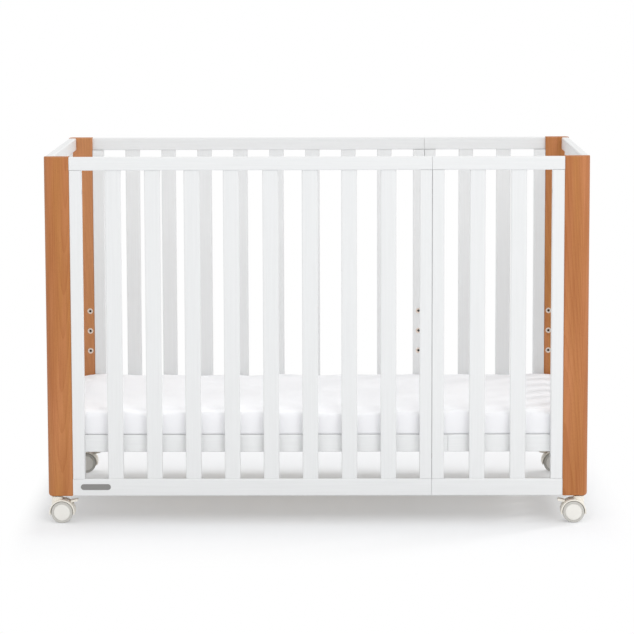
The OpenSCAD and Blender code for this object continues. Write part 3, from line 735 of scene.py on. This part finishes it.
# Length and height of the soft waves on the top, and of the slack folds of the sides.
TOP_WAVES = ((0.21, 0.0006), (0.13, 0.0005), (0.09, 0.00035), (0.055, 0.0002))
SIDE_FOLDS = ((0.083, 0.0005), (0.047, 0.0004), (0.031, 0.0003))
# Slight folds that the sheet has kept, as lines across its top in metres, each with
# its height and its half width.
SHEET_FOLDS = (
    (((0.293, -0.248), (0.318, -0.280), (0.345, -0.296)), 0.0024, 0.011),
    (((0.300, 0.150), (0.335, 0.192), (0.372, 0.220)), 0.0020, 0.012),
    (((0.470, -0.286), (0.520, -0.262), (0.560, -0.246)), 0.0020, 0.011),
    (((0.180, -0.120), (0.240, -0.085), (0.310, -0.072)), 0.0016, 0.013),
    (((-0.540, 0.268), (-0.470, 0.262), (-0.400, 0.270)), 0.0020, 0.009),
    (((-0.520, 0.226), (-0.450, 0.236), (-0.390, 0.232)), 0.0022, 0.010),
    (((-0.560, -0.150), (-0.490, -0.195), (-0.430, -0.206)), 0.0016, 0.013),
    (((-0.300, 0.060), (-0.220, 0.095), (-0.120, 0.090)), 0.0014, 0.014),
    (((-0.060, -0.215), (0.020, -0.232), (0.090, -0.222)), 0.0016, 0.012),
)
# Height of the sheet's front edge over its mean, as it runs from left to right.
FRONT_EDGE = ((-0.60, -0.002), (-0.537, 0.003), (-0.485, -0.001), (-0.446, 0.003),
              (-0.392, -0.003), (-0.330, 0.0), (-0.26, 0.0025), (-0.19, -0.001),
              (-0.11, 0.0015), (-0.03, -0.001), (0.04, -0.003), (0.12, -0.003),
              (0.19, 0.001), (0.25, -0.0015), (0.33, 0.0025), (0.40, -0.001),
              (0.46, 0.002), (0.53, -0.0005), (0.60, -0.002))


class CRIB_OT_sheet(bpy.types.Operator):
    """The mattress in its fitted sheet, padded by a cloth simulation"""
    bl_idname = "crib.sheet"
    bl_label = "Mattress in its fitted sheet"

    def execute(self, context):
        settings = context.scene.crib_sheet
        self.low, self.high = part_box("mattress")
        self.fabric = cotton("percale_cotton", settings.colour)
        piece = self.padding(context, settings)
        points, facing = self.read(piece.data)
        self.square_up(points, radius=0.009, face=self.low.z,
                       centre=self.low.z + 0.009, power=12)
        self.square_up(points, radius=0.012, face=self.high.z - 0.002,
                       centre=self.high.z - 0.014, power=3)
        self.seat(points)
        self.crease(points, facing)
        self.tuck_under(points, facing, settings)
        piece.data.vertices.foreach_set("co", points.ravel())
        smooth(piece.data, math.pi)
        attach(piece, "mattress")
        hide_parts("mattress")
        self.ticking(settings)
        self.stitches(settings)
        return {"FINISHED"}

    def read(self, mesh):
        """A mesh's points and the directions that they face, as two arrays."""
        points, facing = (np.empty((len(mesh.vertices), 3)) for _ in range(2))
        mesh.vertices.foreach_get("co", points.ravel())
        mesh.vertices.foreach_get("normal", facing.ravel())
        return points, facing

    def padding(self, context, settings):
        """The core, remeshed, blown up a little as cloth and subdivided once."""
        mesh = NODES["mattress"].data.copy()
        mesh.name = "mattress_in_sheet"
        mesh.materials.clear()
        mesh.materials.append(self.fabric)
        build = bmesh.new()
        build.from_mesh(mesh)
        bmesh.ops.remove_doubles(build, verts=build.verts, dist=1e-6)
        # It swells, so it starts smaller. The underside stays where the slats carry it.
        middle = (self.low + self.high) / 2
        half = (self.high - self.low) / 2
        for vert in build.verts:
            for axis, inset in ((0, 0.001), (1, 0.0005)):
                vert.co[axis] = middle[axis] + (vert.co[axis] - middle[axis]) * (
                    1 - inset / half[axis])
            vert.co.z = self.low.z + (vert.co.z - self.low.z) * (
                1 - settings.swell / (2 * half.z))
        build.to_mesh(mesh)
        build.free()
        piece = bpy.data.objects.new("mattress_in_sheet", mesh)
        context.scene.collection.objects.link(piece)
        grid = piece.modifiers.new("Grid", "REMESH")
        grid.mode = "VOXEL"
        grid.voxel_size = settings.voxel
        applied(piece)
        start, outward = self.read(piece.data)
        held = start[:, 2] < self.low.z + HELD
        pin = piece.vertex_groups.new(name="underside")
        pin.add(np.flatnonzero(held).tolist(), 1.0, "REPLACE")
        cloth = piece.modifiers.new("Padding", "CLOTH")
        cloth.point_cache.frame_start, cloth.point_cache.frame_end = 1, FRAMES
        cloth.settings.vertex_group_mass = pin.name
        cloth.settings.use_pressure = True
        cloth.settings.uniform_pressure_force = PRESSURE
        cloth.settings.effector_weights.gravity = 0.0
        for number in range(1, FRAMES + 1):
            context.scene.frame_set(number)
        applied(piece)
        piece.vertex_groups.clear()
        context.scene.frame_set(1)
        # The core limits the swelling: it lets nothing in, and little out at the sides.
        swollen = np.maximum(0, ((self.read(piece.data)[0] - start) * outward).sum(axis=1))
        most = SIDE_SWELL + (settings.swell - SIDE_SWELL) * np.clip(outward[:, 2], 0, 1) ** 2
        swollen = np.where(held, 0, most * np.tanh(swollen / most))
        piece.data.vertices.foreach_set("co", (start + outward * swollen[:, None]).ravel())
        finer = piece.modifiers.new("Finer", "SUBSURF")
        finer.levels = finer.render_levels = 1
        applied(piece)
        piece.data.materials.clear()
        piece.data.materials.append(self.fabric)
        return piece

    def square_up(self, points, radius, face, centre, power):
        """Fills a rounded long edge out towards a square one, the more the higher the power."""
        depth, away = self.inside(points)
        first = np.percentile(depth[np.abs(points[:, 2] - centre) < 0.02], 1)
        side = np.clip((radius - (depth - first)) / radius, 0, 1)
        level = np.clip((points[:, 2] - centre) / (face - centre), 0, 1)
        reach = np.hypot(side, level)
        full = (side ** power + level ** power) ** (1 / power)
        grown = np.where(np.minimum(side, level) > 0.02, reach / np.maximum(full, 1e-6), 1)
        points[:, 2] = np.where(grown > 1, centre + (face - centre) * level * grown, points[:, 2])
        points[:, :2] += away * (side * (grown - 1) * radius)[:, None]

    def seat(self, points):
        """Presses the lowest 6 mm of the sides down to the base."""
        depth, _ = self.inside(points)
        near = np.clip(1 - depth / RIM, 0, 1)
        low = np.clip(1 - (points[:, 2] - self.low.z) / 0.006, 0, 1)
        points[:, 2] -= np.minimum(1, 2.5 * low * near) * (points[:, 2] - self.low.z - RIM_GAP)

    def crease(self, points, facing):
        """Folds and soft waves on the top, and slack folds down the sides."""
        along, across = points[:, 0], points[:, 1]
        up = np.clip((facing[:, 2] - 0.35) / 0.5, 0, 1)
        rise = np.zeros(len(points))
        for line, height, width in SHEET_FOLDS:
            rise = np.maximum(rise, height * self.near(along, across, line, width))
        waves = random.Random(11)
        for length, height in TOP_WAVES:
            for _ in range(3):
                turn, shift = waves.uniform(0, math.pi), waves.uniform(0, 2 * math.pi)
                rise += height * np.sin(2 * math.pi / length * (
                    along * math.cos(turn) + across * math.sin(turn)) + shift)
        # The front edge is pulled into a low wave, with a shallow trough behind it.
        edge = np.interp(along, *zip(*FRONT_EDGE))
        edge_lift, edge_width = 0.001, 0.026
        trough_depth, trough_place, trough_width = 0.0022, 0.036, 0.009
        behind = across - self.low.y
        rise += (edge + edge_lift) * np.exp(-(behind / edge_width) ** 2)
        rise -= trough_depth * np.exp(-((behind - trough_place - edge * 3) / trough_width) ** 2)
        points[:, 2] += up * (rise - 0.002)
        # Down the sides the sheet hangs in shallow upright folds that run out below.
        upright = np.clip(1 - np.abs(facing[:, 2]) * 1.6, 0, 1)
        fall = (points[:, 2] - self.low.z) / (self.high.z - self.low.z)
        slack = np.zeros(len(points))
        for length, height in SIDE_FOLDS:
            lean = waves.uniform(-0.35, 0.35)
            shift = waves.uniform(0, 2 * math.pi)
            slack += height * np.sin(
                2 * math.pi / length * (along + across + lean * points[:, 2]) + shift)
        push = upright * slack * (0.35 + 0.65 * fall)
        points[:, 0] += facing[:, 0] * push
        points[:, 1] += facing[:, 1] * push

    def near(self, along, across, line, width):
        """1 on a line, falling to 0 a few widths away and towards its ends."""
        best = np.zeros(len(along))
        total = sum(math.dist(a, b) for a, b in zip(line, line[1:]))
        gone = 0.0
        for (ax, ay), (bx, by) in zip(line, line[1:]):
            dx, dy = bx - ax, by - ay
            length = math.hypot(dx, dy)
            part = np.clip(((along - ax) * dx + (across - ay) * dy) / length ** 2, 0, 1)
            off = np.hypot(along - ax - part * dx, across - ay - part * dy)
            place = (gone + part * length) / total
            best = np.maximum(best, np.exp(-(off / width) ** 2) * (
                np.sin(np.pi * (0.08 + 0.84 * place)) ** 0.6))
            gone += length
        return best

    def inside(self, points):
        """Distance from the mattress's outline, seen from above, and the way out to it."""
        offset = np.abs(points[:, :2]) - (self.high.x - CORNER, self.high.y - CORNER)
        corner = offset.min(axis=1) > 0
        reach = np.hypot(offset[:, 0], offset[:, 1])
        depth = CORNER - np.where(corner, reach, offset.max(axis=1))
        ends = offset[:, 0] > offset[:, 1]
        away = np.where(corner[:, None], offset / np.maximum(reach, 1e-6)[:, None],
                        np.stack((ends, ~ends), axis=1))
        return depth, away * np.sign(points[:, :2])

    def tuck_under(self, points, facing, settings):
        """Gathers the sheet below the mattress up to its elastic hem."""
        depth, _ = self.inside(points)
        below = (facing[:, 2] < -0.5) & (points[:, 2] < self.low.z + 0.006)
        ends = self.high.x - np.abs(points[:, 0]) < self.high.y - np.abs(points[:, 1])
        along = np.where(ends, points[:, 1], points[:, 0])
        draw = np.clip(depth / settings.hem_inset, 0, 1) ** 2
        gather = 0.5 + 0.5 * np.sin(
            2 * math.pi / GATHER_PITCH * along + 2.2 * np.sin(along * 41))
        drawn = self.low.z + GATHER_GAP + GATHER_HEIGHT * draw * gather
        lifted = np.where(depth < settings.hem_inset, drawn, self.low.z + 0.005)
        points[:, 2] = np.where(below & (depth > RIM), lifted, points[:, 2])

    def ticking(self, settings):
        """The mattress's own quilted cover, which shows inside the hem."""
        lap, lift = 0.006, 0.0019
        pitch, height = 0.075, 0.0022
        inset = settings.hem_inset - lap
        reach_x, reach_y = self.high.x - inset, self.high.y - inset
        build = bmesh.new()
        bmesh.ops.create_grid(build, x_segments=176, y_segments=72, size=1.0)
        for vert in build.verts:
            x, y = vert.co.x * reach_x, vert.co.y * reach_y
            quilt = abs(math.sin(math.pi * (x + y) / pitch) * math.sin(math.pi * (x - y) / pitch))
            vert.co = (x, y, self.low.z + lift + height * (1 - min(1.0, 2.6 * quilt) ** 0.5))
        bmesh.ops.reverse_faces(build, faces=build.faces)
        mesh = bpy.data.meshes.new("quilted_ticking")
        build.to_mesh(mesh)
        build.free()
        smooth(mesh, math.pi)
        new_piece("quilted_ticking", mesh, "mattress",
                  cotton("quilted_cotton_ticking", linear("#f1efe8")))

    def stitches(self, settings):
        """Two rows of stitches hold the elastic in the hem."""
        tree, given, made = new_tree("hem_stitches", (
            ("Pitch", "NodeSocketFloat"), ("Length", "NodeSocketFloat"),
            ("Thickness", "NodeSocketFloat"), ("Thread", "NodeSocketMaterial")))
        row = add(tree, "GeometryNodeMeshToCurve", {"Mesh": given.outputs["Geometry"]})
        even = add(tree, "GeometryNodeResampleCurve", {
            "Curve": row.outputs[0], "Length": given.outputs["Pitch"]}, mode="LENGTH")
        places = add(tree, "GeometryNodeCurveToPoints", {"Curve": even.outputs[0]},
                     mode="EVALUATED")
        aimed = add(tree, "FunctionNodeAlignRotationToVector", {
            "Vector": places.outputs["Tangent"]}, axis="Z")
        half = maths(tree, "MULTIPLY", given.outputs["Thickness"], 0.5)
        thread = add(tree, "GeometryNodeMeshCylinder", {
            "Vertices": 6, "Radius": half, "Depth": given.outputs["Length"]})
        sewn = add(tree, "GeometryNodeInstanceOnPoints", {
            "Points": places.outputs[0], "Instance": thread.outputs[0],
            "Rotation": aimed.outputs[0]})
        real = add(tree, "GeometryNodeRealizeInstances", {"Geometry": sewn.outputs[0]})
        coated = add(tree, "GeometryNodeSetMaterial", {
            "Geometry": real.outputs[0], "Material": given.outputs["Thread"]})
        tree.links.new(coated.outputs[0], made.inputs[0])
        # Both rows run round the hem, 9 and 2 mm from its edge, with rounded corners.
        bend, steps = 0.02, 8
        loops = []
        for lap in (0.009, 0.002):
            inset = settings.hem_inset - lap
            half_x, half_y = self.high.x - inset, self.high.y - inset
            for corner, (sx, sy) in enumerate(((1, 1), (-1, 1), (-1, -1), (1, -1))):
                for step in range(steps + 1):
                    angle = math.radians(90 * corner + 90 * step / steps)
                    loops.append((sx * (half_x - bend) + bend * math.cos(angle),
                                  sy * (half_y - bend) + bend * math.sin(angle),
                                  self.low.z + 0.00035))
        count = len(loops) // 2
        mesh = bpy.data.meshes.new("hem_stitches")
        mesh.from_pydata(loops, [(count * row + i, count * row + (i + 1) % count)
                                 for row in (0, 1) for i in range(count)], [])
        cotton_thread = cotton("spun_cotton_thread", linear("#f4f4f4"))
        piece = nodes_object("hem_stitches", mesh, tree, {
            "Pitch": settings.stitch_pitch, "Length": settings.stitch_pitch * 0.7,
            "Thickness": 0.0005, "Thread": cotton_thread})
        applied(piece)
        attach(piece, "mattress")


# ---- Panel and run ----

OPERATORS = (CRIB_OT_posts, CRIB_OT_sides, CRIB_OT_base_slats, CRIB_OT_fittings,
             CRIB_OT_plate, CRIB_OT_casters, CRIB_OT_sheet, CRIB_OT_stage)


class CRIB_PT_panel(bpy.types.Panel):
    """Lists the crib's steps and their settings"""
    bl_idname = "CRIB_PT_panel"
    bl_label = "Baby crib"
    bl_space_type = "VIEW_3D"
    bl_region_type = "UI"
    bl_category = "Baby crib"

    def draw(self, context):
        for operator in OPERATORS:
            self.layout.operator(operator.bl_idname)
        for name in SETTINGS:
            group = getattr(context.scene, name)
            box = self.layout.box()
            for prop in group.bl_rna.properties:
                if prop.identifier not in ("rna_type", "name"):
                    box.prop(group, prop.identifier)


CLASSES = (*SETTINGS.values(), *OPERATORS, CRIB_PT_panel)


def register():
    for kind in CLASSES:
        bpy.utils.register_class(kind)
    for name, kind in SETTINGS.items():
        setattr(bpy.types.Scene, name, bpy.props.PointerProperty(type=kind))


def unregister():
    for name in SETTINGS:
        delattr(bpy.types.Scene, name)
    for kind in reversed(CLASSES):
        bpy.utils.unregister_class(kind)


def main():
    register()
    for operator in OPERATORS:
        group, step = operator.bl_idname.split(".")
        getattr(getattr(bpy.ops, group), step)()


if __name__ == "__main__":
    main()
